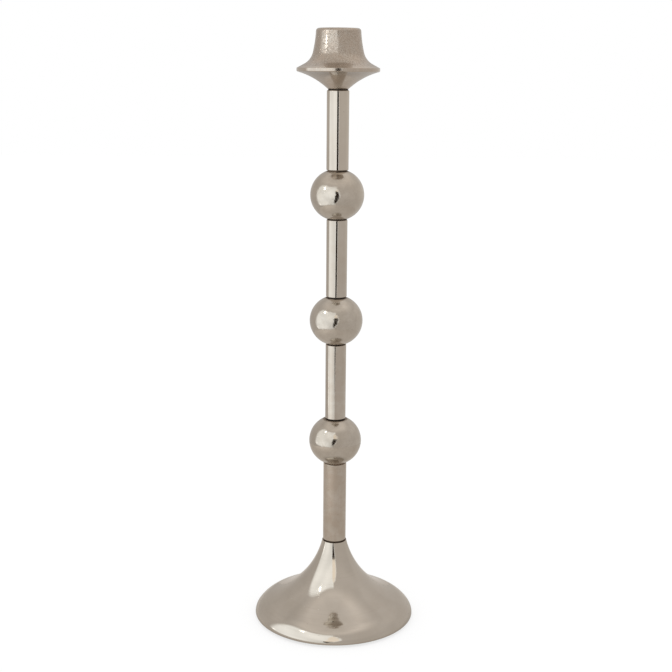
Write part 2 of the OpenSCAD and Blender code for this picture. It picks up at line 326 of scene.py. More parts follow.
# Brown tarnish that creeps out of a joint, where polish and damp collect.
joint_tarnish, given, made = effect(
    "joint_tarnish",
    [("Place", "Vector", None), ("Low joint", "Float", 0.0), ("High joint", "Float", 1.0),
     ("Reach", "Float", 0.001)],
    [("Tarnish", "Float")],
)
split = add(joint_tarnish, "ShaderNodeSeparateXYZ")
joint_tarnish.links.new(given.outputs["Place"], split.inputs[0])
from_low = sums(joint_tarnish, "SUBTRACT", split.outputs[2], given.outputs["Low joint"])
from_low = sums(joint_tarnish, "ABSOLUTE", from_low)
from_high = sums(joint_tarnish, "SUBTRACT", split.outputs[2], given.outputs["High joint"])
from_high = sums(joint_tarnish, "ABSOLUTE", from_high)
nearest = sums(joint_tarnish, "MINIMUM", from_low, from_high)
nearest = sums(joint_tarnish, "DIVIDE", nearest, given.outputs["Reach"])
uneven = sums(joint_tarnish, "MULTIPLY", noise(joint_tarnish, given.outputs["Place"], 330.0, 3.0), 1.7)
creep = stepped(joint_tarnish, sums(joint_tarnish, "SUBTRACT", nearest, uneven), -1.0, 0.5, 1.0, 0.0)
joint_tarnish.links.new(creep, made.inputs["Tarnish"])


def placed(tree, group, where, **inputs):
    """A node group put into a material, reading the surface at a place."""
    made = add(tree, "ShaderNodeGroup", {"node_tree": group}, **inputs)
    tree.links.new(where, made.inputs["Place"])
    return made


def plated(name, joints, reach, pattern, haze, cloud, speckle, relief, mark_tint=0.12,
           mark_haze=0.06, mark_color=(0.445, 0.395, 0.338), stain=0.0):
    """Polished nickel plate. joints are the heights of the joints at its ends, and reach is how far
    their tarnish creeps. pattern(tree, place) gives the tool's own marks, 0 to 1, relief is their
    depth, and mark_tint, mark_haze and mark_color are how they darken and dull the plate. stain is
    how far the brown film of old polish covers it, in blotches."""
    tarnish_brown = (0.16, 0.105, 0.06)
    film_brown = (0.455, 0.37, 0.30)
    hair_depth = 0.0006 * MM
    material = bpy.data.materials.new(name)
    material.use_nodes = True
    tree = material.node_tree
    shader = tree.nodes["Principled BSDF"]
    place = add(tree, "ShaderNodeTexCoord").outputs["Object"]
    wear = placed(tree, plate_wear, place, Cloud=cloud, Speckle=speckle, Haze=haze)
    creeping = placed(tree, joint_tarnish, place,
                      Low_joint=joints[0], High_joint=joints[1], Reach=reach)
    tarnish = creeping.outputs[0]
    hair_lines = placed(tree, hairlines, place, Amount=1.0).outputs[0]
    tool = pattern(tree, place)
    brown = mixed(tree, sums(tree, "MULTIPLY", tarnish, 0.8), wear.outputs["Color"], tarnish_brown)
    toned = mixed(tree, sums(tree, "MULTIPLY", tool, mark_tint), brown, mark_color)
    blotches = stepped(tree, noise(tree, place, 210.0, 4.0, 0.6), 0.34, 0.62, 0.2 * stain, stain)
    toned = mixed(tree, blotches, toned, film_brown)
    tree.links.new(toned, shader.inputs["Base Color"])
    rough = sums(tree, "ADD", wear.outputs["Roughness"], sums(tree, "MULTIPLY", tarnish, 0.35))
    rough = sums(tree, "ADD", rough, sums(tree, "MULTIPLY", tool, mark_haze))
    rough = sums(tree, "ADD", rough, sums(tree, "MULTIPLY", hair_lines, 0.08))
    tree.links.new(rough, shader.inputs["Roughness"])
    shader.inputs["Metallic"].default_value = 1.0
    bump = add(tree, "ShaderNodeBump", Strength=1.0, Distance=relief)
    height = sums(tree, "ADD", wear.outputs["Height"], tool)
    height = sums(tree, "SUBTRACT", height, sums(tree, "MULTIPLY", hair_lines, hair_depth / relief))
    tree.links.new(height, bump.inputs["Height"])
    tree.links.new(bump.outputs[0], shader.inputs["Normal"])
    return material


def lathe_marks(tree, place):
    """Fine rings round the axis, from the polishing mop: noise of (distance from the axis, height),
    nearly even round the piece."""
    split = add(tree, "ShaderNodeSeparateXYZ")
    tree.links.new(place, split.inputs[0])
    x_squared = sums(tree, "MULTIPLY", split.outputs[0], split.outputs[0])
    y_squared = sums(tree, "MULTIPLY", split.outputs[1], split.outputs[1])
    out = sums(tree, "SQRT", sums(tree, "ADD", x_squared, y_squared))
    joined = add(tree, "ShaderNodeCombineXYZ")
    tree.links.new(out, joined.inputs[0])
    tree.links.new(split.outputs[2], joined.inputs[1])
    tree.links.new(sums(tree, "MULTIPLY", split.outputs[0], 0.02), joined.inputs[2])
    return stepped(tree, noise(tree, joined.outputs[0], 1500.0, 2.0), 0.5, 0.75)


foot_plate = plated("foot_plate", (foot_high[2], foot_high[2] + no_joint), 0.2 * MM, lathe_marks,
                    haze=0.075, cloud=0.55, speckle=0.5, relief=0.003 * MM)
trumpet_foot.data.materials.append(foot_plate)
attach(trumpet_foot, "root")
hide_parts("foot_shell")


# ---------------------------------------------------------------- Felt and weight
# A disc of dark green wool felt is glued over the foot's open underside. Above it lies the
# cast-iron ring that keeps the stick from tipping, painted black and rough from its mould.

felt_low, felt_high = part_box("felt_pad")
felt_r = felt_high[0]
felt_top = felt_high[2]
felt_profile = np.array([[0, felt_low[2]], [felt_r, felt_low[2]], [felt_r, felt_top], [0, felt_top]])
felt_profile = spaced(eased(felt_profile, ease=0.5 * MM, ring=False), longest=2.0 * MM, ring=False)
felt_disc = turned("felt_disc", felt_profile, sides=160, ring=False,
                   depth=0.06 * MM, seed=5, turns=(3, 14), pitch=0.008)

dark_green = (0.012, 0.034, 0.019)
light_green = (0.050, 0.110, 0.064)
matted_green = (0.070, 0.095, 0.062)
felt_cloth = bpy.data.materials.new("felt_cloth")
felt_cloth.use_nodes = True
tree = felt_cloth.node_tree
shader = tree.nodes["Principled BSDF"]
place = add(tree, "ShaderNodeTexCoord").outputs["Object"]
bent = add(tree, "ShaderNodeTexNoise", Scale=300.0, Detail=2.0)
tree.links.new(place, bent.inputs["Vector"])
swirl = add(tree, "ShaderNodeVectorMath", {"operation": "SCALE"}, Scale=0.004)
tree.links.new(bent.outputs["Color"], swirl.inputs[0])
fibre_place = add(tree, "ShaderNodeVectorMath", {"operation": "ADD"})
tree.links.new(place, fibre_place.inputs[0])
tree.links.new(swirl.outputs[0], fibre_place.inputs[1])
fibres_a = noise(tree, stretched(tree, fibre_place.outputs[0], (1.0, 0.12, 1.0)), 3800.0, 3.0)
fibres_b = noise(tree, stretched(tree, fibre_place.outputs[0], (0.12, 1.0, 1.0)), 3400.0, 3.0)
fibres = sums(tree, "MAXIMUM", fibres_a, fibres_b)
matted = stepped(tree, noise(tree, place, 90.0, 4.0), 0.35, 0.7)
green = mixed(tree, stepped(tree, fibres, 0.45, 0.72), dark_green, light_green)
green = mixed(tree, sums(tree, "MULTIPLY", matted, 0.35), green, matted_green)
tree.links.new(green, shader.inputs["Base Color"])
tree.links.new(stepped(tree, fibres, 0.3, 0.8, 0.98, 0.82), shader.inputs["Roughness"])
shader.inputs["Sheen Weight"].default_value = 0.08
shader.inputs["Sheen Roughness"].default_value = 0.6
shader.inputs["Specular IOR Level"].default_value = 0.15
bump = add(tree, "ShaderNodeBump", Strength=1.0, Distance=0.15 * MM)
tree.links.new(sums(tree, "ADD", fibres, sums(tree, "MULTIPLY", matted, 0.8)), bump.inputs["Height"])
tree.links.new(bump.outputs[0], shader.inputs["Normal"])
felt_disc.data.materials.append(felt_cloth)
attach(felt_disc, "root")
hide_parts("felt_pad")


def cad_finish(node, material):
    """Gives a CAD node, which keeps its shape, its own finish."""
    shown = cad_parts[node]
    for place in range(max(1, len(shown.material_slots))):
        if shown.material_slots:
            shown.material_slots[place].material = material
        else:
            shown.data.materials.append(material)


paint_low = (0.018, 0.017, 0.016)
paint_high = (0.06, 0.056, 0.052)
rust_brown = (0.14, 0.055, 0.022)
cast_iron = bpy.data.materials.new("black_cast_iron")
cast_iron.use_nodes = True
tree = cast_iron.node_tree
shader = tree.nodes["Principled BSDF"]
place = add(tree, "ShaderNodeTexCoord").outputs["Object"]
sand = noise(tree, place, 1300.0, 5.0, 0.65)
lumps = noise(tree, place, 210.0, 3.0)
rust = stepped(tree, noise(tree, place, 120.0, 5.0, 0.6), 0.54, 0.70)
black = mixed(tree, sand, paint_low, paint_high)
tree.links.new(mixed(tree, rust, black, rust_brown), shader.inputs["Base Color"])
tree.links.new(stepped(tree, rust, 0.0, 1.0, 0.55, 0.92), shader.inputs["Roughness"])
tree.links.new(stepped(tree, rust, 0.0, 1.0, 0.7, 0.1), shader.inputs["Metallic"])
bump = add(tree, "ShaderNodeBump", Strength=1.0, Distance=0.2 * MM)
tree.links.new(sums(tree, "ADD", sand, sums(tree, "MULTIPLY", lumps, 1.5)), bump.inputs["Height"])
tree.links.new(bump.outputs[0], shader.inputs["Normal"])
cad_finish("foot_weight", cast_iron)


# ---------------------------------------------------------------- Tie rod, nut and washers
# One zinc-plated M6 steel rod runs from the nut under the foot up into the cup and draws the
# whole stack together, over a wide washer and a spring washer.

thread_pitch = 1.0 * MM
zinc_relief = 0.006 * MM
# The thread's groove, in times the zinc's own relief
groove_depth = 30.0


def zinc_steel(name, threaded):
    """Zinc-plated steel: bluish grey with a yellow cast in patches, spangled and scratched. On the rod the
    thread shows as rings of light and shade one pitch apart, partly from its bumped groove and partly from
    painted shade that darkens the colour in the groove."""
    material = bpy.data.materials.new(name)
    material.use_nodes = True
    tree = material.node_tree
    shader = tree.nodes["Principled BSDF"]
    place = add(tree, "ShaderNodeTexCoord").outputs["Object"]
    spangle = add(tree, "ShaderNodeTexVoronoi", Scale=900.0)
    tree.links.new(place, spangle.inputs["Vector"])
    facets = stepped(tree, spangle.outputs["Distance"], 0.1, 0.8)
    yellow = stepped(tree, noise(tree, place, 170.0, 3.0), 0.42, 0.66)
    dark_zinc, light_zinc = (0.46, 0.475, 0.50), (0.60, 0.61, 0.625)
    yellow_zinc, groove_shade = (0.60, 0.54, 0.38), (0.12, 0.10, 0.08)
    grey = mixed(tree, facets, dark_zinc, light_zinc)
    zinc = mixed(tree, sums(tree, "MULTIPLY", yellow, 0.5), grey, yellow_zinc)
    scratches = placed(tree, hairlines, place, Amount=1.0).outputs[0]
    height = sums(tree, "SUBTRACT", facets, scratches)
    if threaded:
        split = add(tree, "ShaderNodeSeparateXYZ")
        tree.links.new(place, split.inputs[0])
        lead = sums(tree, "ARCTAN2", split.outputs[1], split.outputs[0])
        climb = sums(tree, "MULTIPLY", split.outputs[2], 2 * math.pi / thread_pitch)
        groove = sums(tree, "MULTIPLY_ADD", sums(tree, "SINE", sums(tree, "ADD", climb, lead)), 0.5, 0.5)
        # Painted shade: the colour darkens towards a near-black brown down in the thread's groove, where
        # shade falls.
        groove_shading = sums(tree, "MULTIPLY", sums(tree, "SUBTRACT", 1.0, groove), 0.7)
        zinc = mixed(tree, groove_shading, zinc, groove_shade)
        height = sums(tree, "ADD", sums(tree, "MULTIPLY", groove, groove_depth), height)
    tree.links.new(zinc, shader.inputs["Base Color"])
    tree.links.new(stepped(tree, yellow, 0.0, 1.0, 0.3, 0.46), shader.inputs["Roughness"])
    shader.inputs["Metallic"].default_value = 1.0
    bump = add(tree, "ShaderNodeBump", Strength=1.0, Distance=zinc_relief)
    tree.links.new(height, bump.inputs["Height"])
    tree.links.new(bump.outputs[0], shader.inputs["Normal"])
    return material


cad_finish("tie_rod", zinc_steel("zinc_steel_rod", True))
zinc_plain = zinc_steel("zinc_steel_plain", False)
for node_name in ("clamp_washer", "lock_washer", "clamp_nut"):
    cad_finish(node_name, zinc_plain)


# ---------------------------------------------------------------- Bushes and neck plug
# Turned brass bushes centre each tube on the rod. Their thin collars keep the tubes off the
# balls, and the narrow gap round each has filled with blackened polish.


def turned_brass(name, gap_z, grime, brown, lit_side_brown=None):
    """Unplated turned brass, with grime packed round the collar at height gap_z. grime is how much of the
    collar it covers and brown is its colour. When a second, lighter brown is given, the -X side turns to
    it: painted light from the bright panel on that side."""
    material = bpy.data.materials.new(name)
    material.use_nodes = True
    tree = material.node_tree
    shader = tree.nodes["Principled BSDF"]
    place = add(tree, "ShaderNodeTexCoord").outputs["Object"]
    split = add(tree, "ShaderNodeSeparateXYZ")
    tree.links.new(place, split.inputs[0])
    rings = noise(tree, stretched(tree, place, (0.05, 0.05, 1.0)), 5200.0, 2.0)
    aged = stepped(tree, noise(tree, place, 240.0, 4.0), 0.36, 0.66)
    fresh_brass, aged_brass, ring_brass = (0.72, 0.54, 0.27), (0.42, 0.28, 0.13), (0.50, 0.35, 0.17)
    brass = mixed(tree, aged, fresh_brass, aged_brass)
    brass = mixed(tree, sums(tree, "MULTIPLY", rings, 0.3), brass, ring_brass)
    from_gap = sums(tree, "ABSOLUTE", sums(tree, "SUBTRACT", split.outputs[2], gap_z))
    packed = stepped(tree, from_gap, 0.5 * MM, 1.2 * MM, 1.0, 0.0)
    bare_from = 0.72 - grime * 0.6
    ragged = stepped(tree, noise(tree, place, 420.0, 3.0), bare_from, 0.86 - grime * 0.6)
    cover = sums(tree, "MULTIPLY", packed, ragged)
    # Painted light: the grime turns a lighter brown on the -X side, which faces the tent's bright panel.
    if lit_side_brown:
        brown = mixed(tree, stepped(tree, split.outputs[0], -1.5 * MM, 1.0 * MM), lit_side_brown, brown)
    tree.links.new(mixed(tree, cover, brass, brown), shader.inputs["Base Color"])
    tree.links.new(stepped(tree, cover, 0.0, 1.0, 0.3, 0.75), shader.inputs["Roughness"])
    tree.links.new(stepped(tree, cover, 0.0, 1.0, 1.0, 0.15), shader.inputs["Metallic"])
    bump = add(tree, "ShaderNodeBump", Strength=1.0, Distance=0.01 * MM)
    tree.links.new(sums(tree, "ADD", rings, ragged), bump.inputs["Height"])
    tree.links.new(bump.outputs[0], shader.inputs["Normal"])
    return material


stack_order = ("lower_tube", "second_tube", "third_tube", "top_tube")
black_grime = (0.022, 0.015, 0.010)
brown_grime = (0.30, 0.22, 0.15)
bush_grime = {
    "lower_tube_bottom_bush": {"grime": 0.9, "brown": (0.085, 0.060, 0.040)},
    "lower_tube_top_bush": {"grime": 0.75, "brown": brown_grime},
    # This bush's grime is painted lighter on the -X side, where the bright panel lights it.
    "top_tube_bottom_bush": {"grime": 0.9, "brown": (0.045, 0.030, 0.018),
                             "lit_side_brown": (0.20, 0.15, 0.105)},
}
full_grime = {"grime": 1.0, "brown": black_grime}
collar_half = 0.3 * MM
for tube_name in stack_order:
    tube_low, tube_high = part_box(tube_name)
    for bush_name, gap_z in ((tube_name + "_bottom_bush", tube_low[2] - collar_half),
                             (tube_name + "_top_bush", tube_high[2] + collar_half)):
        packing = bush_grime.get(bush_name, full_grime)
        cad_finish(bush_name, turned_brass("brass_" + bush_name, gap_z, **packing))
cad_finish("neck_plug", turned_brass("brass_neck_plug", foot_high[2], grime=0.6, brown=brown_grime))


# ---------------------------------------------------------------- Stem tubes
# Four lengths of drawn brass tube, cut and bevelled on the lathe, polished lengthwise and
# plated. The lowest is the thickest and the two middle ones are alike.

tube_wall = 1.2 * MM
tube_bevel = 0.35 * MM


def drawn_lines(tree, place):
    """Faint lines along the tube from the drawing die, hardly changing with height."""
    return stepped(tree, noise(tree, stretched(tree, place, (1.0, 1.0, 0.012)), 1500.0, 3.0), 0.42, 0.75)


tube_dullness = {
    "lower_tube": {"haze": 0.12, "cloud": 1.0, "speckle": 1.8, "stain": 0.50},
    "second_tube": {"haze": 0.085, "cloud": 0.8, "speckle": 0.4, "stain": 0.34},
    "third_tube": {"haze": 0.05, "cloud": 0.4, "speckle": 0.2, "stain": 0.2},
    "top_tube": {"haze": 0.05, "cloud": 0.4, "speckle": 0.5, "stain": 0.08},
}
for number, tube_name in enumerate(stack_order):
    tube_low, tube_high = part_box(tube_name)
    tube_r = tube_high[0]
    low_z, high_z = tube_low[2], tube_high[2]
    tube_profile = np.array([
        [tube_r - tube_bevel, low_z], [tube_r, low_z + tube_bevel],
        [tube_r, high_z - tube_bevel], [tube_r - tube_bevel, high_z],
        [tube_r - tube_wall, high_z], [tube_r - tube_wall, low_z],
    ])
    tube_profile = spaced(eased(tube_profile, ease=0.08 * MM, ring=True), longest=1.2 * MM, ring=True)
    tube = turned("stem_" + tube_name, tube_profile, sides=192, ring=True,
                  depth=0.004 * MM, seed=21 + number, turns=(1, 3), pitch=0.035)
    tube.data.materials.append(plated(
        "plate_" + tube_name, (low_z, high_z), 0.25 * MM, drawn_lines, relief=0.0012 * MM,
        **tube_dullness[tube_name]))
    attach(tube, "root")
    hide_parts(tube_name)


# ---------------------------------------------------------------- Balls
# Three hollow brass balls, each spun from two halves, soldered and turned true, then faced flat
# where the tubes seat. Buffing has left them very slightly uneven.

ball_wall = 2.0 * MM
ball_flatten = 1.0 * MM
ball_hole_r = 4.55 * MM


def buff_marks(tree, place):
    """Soft swirls two or three millimetres across, which the buffing wheel leaves, and small flecks
    over faint lathe rings: noises whose place is itself pulled about by a slower noise."""
    slow = add(tree, "ShaderNodeTexNoise", Scale=150.0, Detail=1.0)
    tree.links.new(place, slow.inputs["Vector"])
    pulled = add(tree, "ShaderNodeVectorMath", {"operation": "MULTIPLY_ADD"})
    tree.links.new(slow.outputs["Color"], pulled.inputs[0])
    pull = 4.0 * MM
    pulled.inputs[1].default_value = (pull, pull, pull)
    tree.links.new(place, pulled.inputs[2])
    swirls = noise(tree, pulled.outputs[0], 300.0, 2.5, 0.5)
    flecks = stepped(tree, noise(tree, pulled.outputs[0], 850.0, 1.5, 0.5), 0.38, 0.64)
    rings = sums(tree, "MULTIPLY", lathe_marks(tree, place), 0.1)
    swirls = sums(tree, "MULTIPLY_ADD", stepped(tree, swirls, 0.25, 0.75), 0.7, rings)
    return sums(tree, "MULTIPLY_ADD", flecks, 0.35, swirls)


for number, ball_name in enumerate(("lower_ball", "middle_ball", "upper_ball")):
    ball_low, ball_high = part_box(ball_name)
    ball_r = ball_high[0] - ball_flatten
    seat_h = (ball_high[2] - ball_low[2]) / 2
    centre = np.array([ball_flatten, (ball_high[2] + ball_low[2]) / 2])
    seat_turn = math.degrees(math.asin(seat_h / ball_r))
    inner_r = ball_r - ball_wall
    inner_turn = math.degrees(math.acos((ball_hole_r - ball_flatten) / inner_r))
    inner_turn = min(inner_turn, math.degrees(math.asin(min(1.0, seat_h / inner_r))))
    outer = arc(centre, ball_r, -seat_turn, seat_turn)
    inner = arc(centre, inner_r, inner_turn, -inner_turn, 5)
    hole = np.array([[ball_hole_r, ball_high[2]]])
    hole_low = np.array([[ball_hole_r, ball_low[2]]])
    ball_profile = np.vstack([outer, hole, inner, hole_low])
    ball_profile = spaced(eased(ball_profile, ease=0.1 * MM, ring=True), longest=1.0 * MM, ring=True)
    ball = turned("stem_" + ball_name, ball_profile, sides=256, ring=True,
                  depth=0.03 * MM, seed=31 + number, turns=(2, 7), pitch=0.012)
    ball.data.materials.append(plated(
        "plate_" + ball_name, (ball_low[2], ball_high[2]), 0.35 * MM, buff_marks,
        haze=0.06, cloud=0.9, speckle=0.25, relief=0.016 * MM, mark_tint=0.50, mark_haze=0.10))
    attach(ball, "root")
    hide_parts(ball_name)


# ---------------------------------------------------------------- Candle cup
# Candle socket, drip pan and neck cast in one piece, bored for the candle, lightly polished
# and plated, so that the casting's fine pits still show through the plate. A thin clear lacquer,
# wiped on as it turned in the lathe, lies over all of it.

cup_low, cup_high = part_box("candle_cup")
cup_z = cup_low[2]
cup_h = cup_high[2] - cup_low[2]
pan_r = cup_high[0]
cup_neck_r = 5.9 * MM
pan_z = 9.9 * MM
pan_edge = 2.5 * MM
pan_bevel = 0.4 * MM
pan_slope = math.radians(28.0)
root_start_r = 19.8 * MM
root_r = 9.9 * MM
wall_r = 69.0 * MM
under_r = 42.7 * MM
lip_r = 13.05 * MM
lip_round = 1.8 * MM
socket_r = 11.0 * MM
socket_depth = 20.5 * MM
socket_bevel = 0.25 * MM
thread_r = 3.05 * MM
thread_h = 9.05 * MM
spigot_r = 4.55 * MM
spigot_h = 2.0 * MM

neck_point = np.array([cup_neck_r, 0.0])
pan_low = np.array([pan_r - pan_bevel, pan_z])
under_c = crossing(neck_point, under_r, pan_low, under_r, -1)
pan_high = np.array([pan_r - 2 * pan_bevel, pan_z + pan_edge])
root = pan_high + (pan_high[0] - root_start_r) * np.array([-1, math.tan(pan_slope)])
root_c = root + root_r * np.array([math.sin(pan_slope), math.cos(pan_slope)])
lip = np.array([lip_r, cup_h - lip_round])
wall_c = crossing(root_c, wall_r - root_r, lip, wall_r, -1)
wall_turn = bearing(wall_c, root_c)
cup_profile = np.vstack([
    [[0, thread_h], [thread_r, thread_h], [thread_r, spigot_h], [spigot_r, spigot_h], [spigot_r, 0]],
    arc(under_c, under_r, bearing(under_c, neck_point), bearing(under_c, pan_low), 1.0),
    [[pan_r, pan_z + pan_bevel], [pan_r, pan_z + pan_edge - pan_bevel], pan_high],
    arc(root_c, root_r, bearing(root_c, root), wall_turn, 2.5),
    arc(wall_c, wall_r, wall_turn, bearing(wall_c, lip), 0.6)[1:],
    arc(lip - [lip_round, 0], lip_round, 0, 90, 6)[1:],
    [[socket_r + socket_bevel, cup_h], [socket_r, cup_h - socket_bevel],
     [socket_r, cup_h - socket_depth], [0, cup_h - socket_depth]],
]) + [0, cup_z]
cup_profile = spaced(eased(cup_profile, ease=0.15 * MM, ring=False), longest=0.6 * MM, ring=False)
cast_cup = turned("cast_candle_cup", cup_profile, sides=256, ring=False,
                  depth=0.02 * MM, seed=47, turns=(4, 13), pitch=0.006)
pits_z = cup_z + pan_z + pan_edge
pits_fade = 1.2 * MM


def cast_pits(tree, place):
    """The casting's skin: shallow dimples under a millimetre across, with small sharp pits between
    them where a slow noise is high. Below the pan's edge polishing has left less than half of it."""
    warped = add(tree, "ShaderNodeTexNoise", Scale=900.0, Detail=1.0)
    tree.links.new(place, warped.inputs["Vector"])
    pulled = add(tree, "ShaderNodeVectorMath", {"operation": "MULTIPLY_ADD"})
    tree.links.new(warped.outputs["Color"], pulled.inputs[0])
    pull = 0.4 * MM
    pulled.inputs[1].default_value = (pull, pull, pull)
    tree.links.new(place, pulled.inputs[2])
    dimples = noise(tree, pulled.outputs[0], 1250.0, 2.0, 0.6)
    cells = add(tree, "ShaderNodeTexVoronoi", Scale=1500.0)
    tree.links.new(pulled.outputs[0], cells.inputs["Vector"])
    pits = stepped(tree, cells.outputs["Distance"], 0.08, 0.36, 1.0, 0.0)
    where = stepped(tree, noise(tree, place, 300.0, 2.0), 0.42, 0.62)
    pits = sums(tree, "MULTIPLY", pits, where)
    split = add(tree, "ShaderNodeSeparateXYZ")
    tree.links.new(place, split.inputs[0])
    cast_part = stepped(tree, split.outputs[2], pits_z, pits_z + pits_fade, 0.45, 1.0)
    skin = sums(tree, "MAXIMUM", stepped(tree, dimples, 0.40, 0.60), pits)
    skin = sums(tree, "MULTIPLY_ADD", skin, 0.68, 0.32)
    return sums(tree, "MULTIPLY", skin, cast_part)


cup_plate = plated("cup_plate", (cup_z, cup_z + no_joint), 0.4 * MM, cast_pits,
                   haze=0.05, cloud=0.8, speckle=0.8, relief=0.0009 * MM,
                   mark_tint=0.76, mark_haze=0.36, mark_color=(0.28, 0.22, 0.165), stain=0.6)
cup_shader = cup_plate.node_tree.nodes["Principled BSDF"]
cup_shader.inputs["Coat Weight"].default_value = 0.55
cup_shader.inputs["Coat Roughness"].default_value = 0.03
cup_shader.inputs["Coat IOR"].default_value = 1.8
tree = cup_plate.node_tree
place = add(tree, "ShaderNodeTexCoord").outputs["Object"]
lacquer_rings = noise(tree, stretched(tree, place, (0.02, 0.02, 1.0)), 3000.0, 1.0)
turning = add(tree, "ShaderNodeBump", Strength=1.0, Distance=0.008 * MM)
tree.links.new(lacquer_rings, turning.inputs["Height"])
tree.links.new(turning.outputs[0], cup_shader.inputs["Coat Normal"])
cast_cup.data.materials.append(cup_plate)
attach(cast_cup, "root")
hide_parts("candle_cup")


# ---------------------------------------------------------------- Studio
# A plain pale floor, and a round light tent that only the metal's reflections see: a broad
# soft panel at the left front, the tent's opening as a dark slit beside it, and grey cloth.

tent_r = 0.33
tent_top = 0.80


def lit_sheet(name, points, rows, columns, glow):
    """A grid of points as one sheet that shines with its own colour at each point."""
    i = np.arange(rows - 1)[:, None]
    j = np.arange(columns - 1)[None, :]
    corner = i * columns + j
    faces = np.stack([corner, corner + 1, corner + columns + 1, corner + columns], axis=-1).reshape(-1, 4)
    mesh = bpy.data.meshes.new(name)
    mesh.from_pydata(points.reshape(-1, 3), [], faces.tolist())
    layer = mesh.color_attributes.new("glow", "FLOAT_COLOR", "POINT")
    colours = np.concatenate([glow, np.ones((*glow.shape[:-1], 1))], axis=-1)
    layer.data.foreach_set("color", colours.astype(np.float32).ravel())
    sheet = bpy.data.objects.new(name, mesh)
    bpy.context.scene.collection.objects.link(sheet)
    material = bpy.data.materials.new(name + "_light")
    material.use_nodes = True
    material.cycles.emission_sampling = "NONE"
    tree = material.node_tree
    tree.nodes.clear()
    attribute = add(tree, "ShaderNodeAttribute", {"attribute_name": "glow"})
    shine = add(tree, "ShaderNodeEmission", Strength=1.0)
    out = tree.nodes.new("ShaderNodeOutputMaterial")
    tree.links.new(attribute.outputs["Color"], shine.inputs["Color"])
    tree.links.new(shine.outputs[0], out.inputs["Surface"])
    mesh.materials.append(material)
    sheet.visible_camera = False
    sheet.visible_diffuse = False
    sheet.visible_shadow = False


def rise(value, low, high):
    """0 at low, 1 at high and a smooth 3t^2 - 2t^3 between them, held beyond both. It falls with
    value where high is the smaller."""
    t = np.clip((value - low) / (high - low), 0, 1)
    return t * t * (3 - 2 * t)


cloth = np.array([0.665, 0.630, 0.592])
panel = np.array([1.340, 1.378, 1.385])
opening_low, opening_high = 0.058, 0.435
panel_azimuth, panel_half = -45, 51
panel_z, panel_up, panel_down = 0.26, 0.28, 0.25
lamp_azimuth, lamp_z, lamp_glow = -61, 0.445, 11.0
spill_azimuth, spill_z, spill_glow = -88, 0.05, 0.9


def opening_edges(z):
    """Azimuths of the opening's two sides. Its middle follows a quarter sine from -9.5 degrees up to
    0.5 and then leans back a little; its half width is 9 degrees times the root of a half sine."""
    up = np.clip((z - opening_low) / (opening_high - opening_low), 0, 1)
    middle = -9.5 + 10 * np.sin(np.pi / 2 * np.clip((z - 0.085) / 0.21, 0, 1)) - 1.5 * rise(z, 0.29, 0.40)
    half = 9.0 * np.sqrt(np.sin(np.pi * up))
    return middle - half, middle + half


def tent_glow(azimuth, z):
    """The tent's light at an azimuth (0 towards the camera, positive to its right, in degrees) and
    height: grey cloth, and on the left a rounded bright panel with two hotter spots, a lamp high
    up and a faint spill near the floor. hem is the bright strip along the opening's right side."""
    # The cloth is brighter to the right, at the sides and near the top, and darker at the rear
    tone = 1.0 + 0.05 * np.cos(np.radians(azimuth - 60)) - 0.05 * rise(-azimuth, 96, 140)
    tone = tone * (1.0 + 0.30 * rise(z, 0.40, 0.78)) * (0.93 + 0.07 * rise(z, 0.16, 0.28))
    tone = tone * (1.0 + 0.06 * rise(np.abs(azimuth), 45, 80) * rise(z, 0.32, 0.52))
    tone = tone * (1.0 + 0.08 * rise(np.abs(azimuth), 92, 112) * rise(z, 0.42, 0.34))
    tone = tone * (1.0 - 0.28 * rise(np.abs(azimuth), 154, 176) * rise(z, 0.60, 0.45))
    upper = z > panel_z
    over = np.abs((z - panel_z) / np.where(upper, panel_up, panel_down)) ** np.where(upper, 2.4, 9.0)
    away = np.abs(np.minimum(azimuth - panel_azimuth, 0) / panel_half) ** 3.0
    lit = rise(over + away, 1.25, 0.66) * (azimuth < sum(opening_edges(z)) / 2)
    uneven = -0.17 * rise(azimuth, -50, -15) * rise(z, 0.25, 0.19)
    uneven = uneven + 0.04 * np.sin(0.10 * azimuth + 14 * z) + 0.025 * np.sin(0.07 * azimuth - 29 * z + 1)
    hot = lamp_glow * np.exp(-((azimuth - lamp_azimuth) / 2.0) ** 2 - ((z - lamp_z) / 0.024) ** 2)
    spill = np.exp(-((azimuth - spill_azimuth) / 3) ** 2 - ((z - spill_z) / 0.03) ** 2)
    hot = hot + spill_glow * spill
    hem = rise(azimuth - opening_edges(z)[1], 4.0, 2.6) * (azimuth > opening_edges(z)[1] - 0.01)
    hem = hem * rise(z, opening_low, opening_low + 0.03) * rise(z, opening_high + 0.01, opening_high - 0.03)
    lit = np.maximum(lit, 0.85 * hem)
    return cloth * (tone * (1 - lit))[..., None] + panel * (lit * (1 + uneven + hot))[..., None]


# Two sheets make the round wall, from the back to each side of the opening.
height = np.concatenate([np.linspace(0, 0.06, 25), np.linspace(0.06, 0.46, 121)[1:],
                         np.linspace(0.46, tent_top, 40)[1:]])[:, None]
for sheet_name, back, side in (("tent_wall_left", -180, 0), ("tent_wall_right", 180, 1)):
    azimuth = back + np.linspace(0, 1, 321)[None, :] * (opening_edges(height)[side] - back)
    turn = np.radians(azimuth)
    points = np.stack([tent_r * np.sin(turn), -tent_r * np.cos(turn), height + 0 * turn], axis=-1)
    lit_sheet(sheet_name, points, len(height), 321, tent_glow(azimuth, height))

